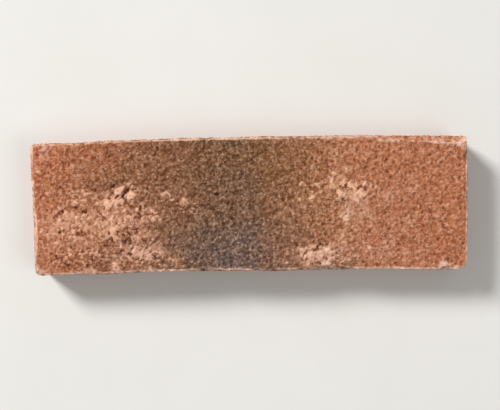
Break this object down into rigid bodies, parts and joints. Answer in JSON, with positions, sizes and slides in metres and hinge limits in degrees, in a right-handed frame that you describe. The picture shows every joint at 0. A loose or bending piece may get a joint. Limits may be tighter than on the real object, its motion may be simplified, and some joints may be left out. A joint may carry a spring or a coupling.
{
  "type": "brick slip",
  "caption": "Thin weathered clay brick slip with a crowned, flash-marked face, rolled chipped arrises and a flat sawn back, for cladding a wall.",
  "frame": {"origin": "centre of the sawn back's bounding rectangle, on the back plane", "axes": "+X along the slip's length, +Y up its height as laid in a wall, +Z out through the weathered face"},
  "size_m": [0.215, 0.068, 0.02],
  "materials": {
    "fired_clay": "matt, sandy, kiln-flashed"
  },
  "bodies": {
    "root": {"brick_slip": "fired_clay"}
  },
  "joints": []
}
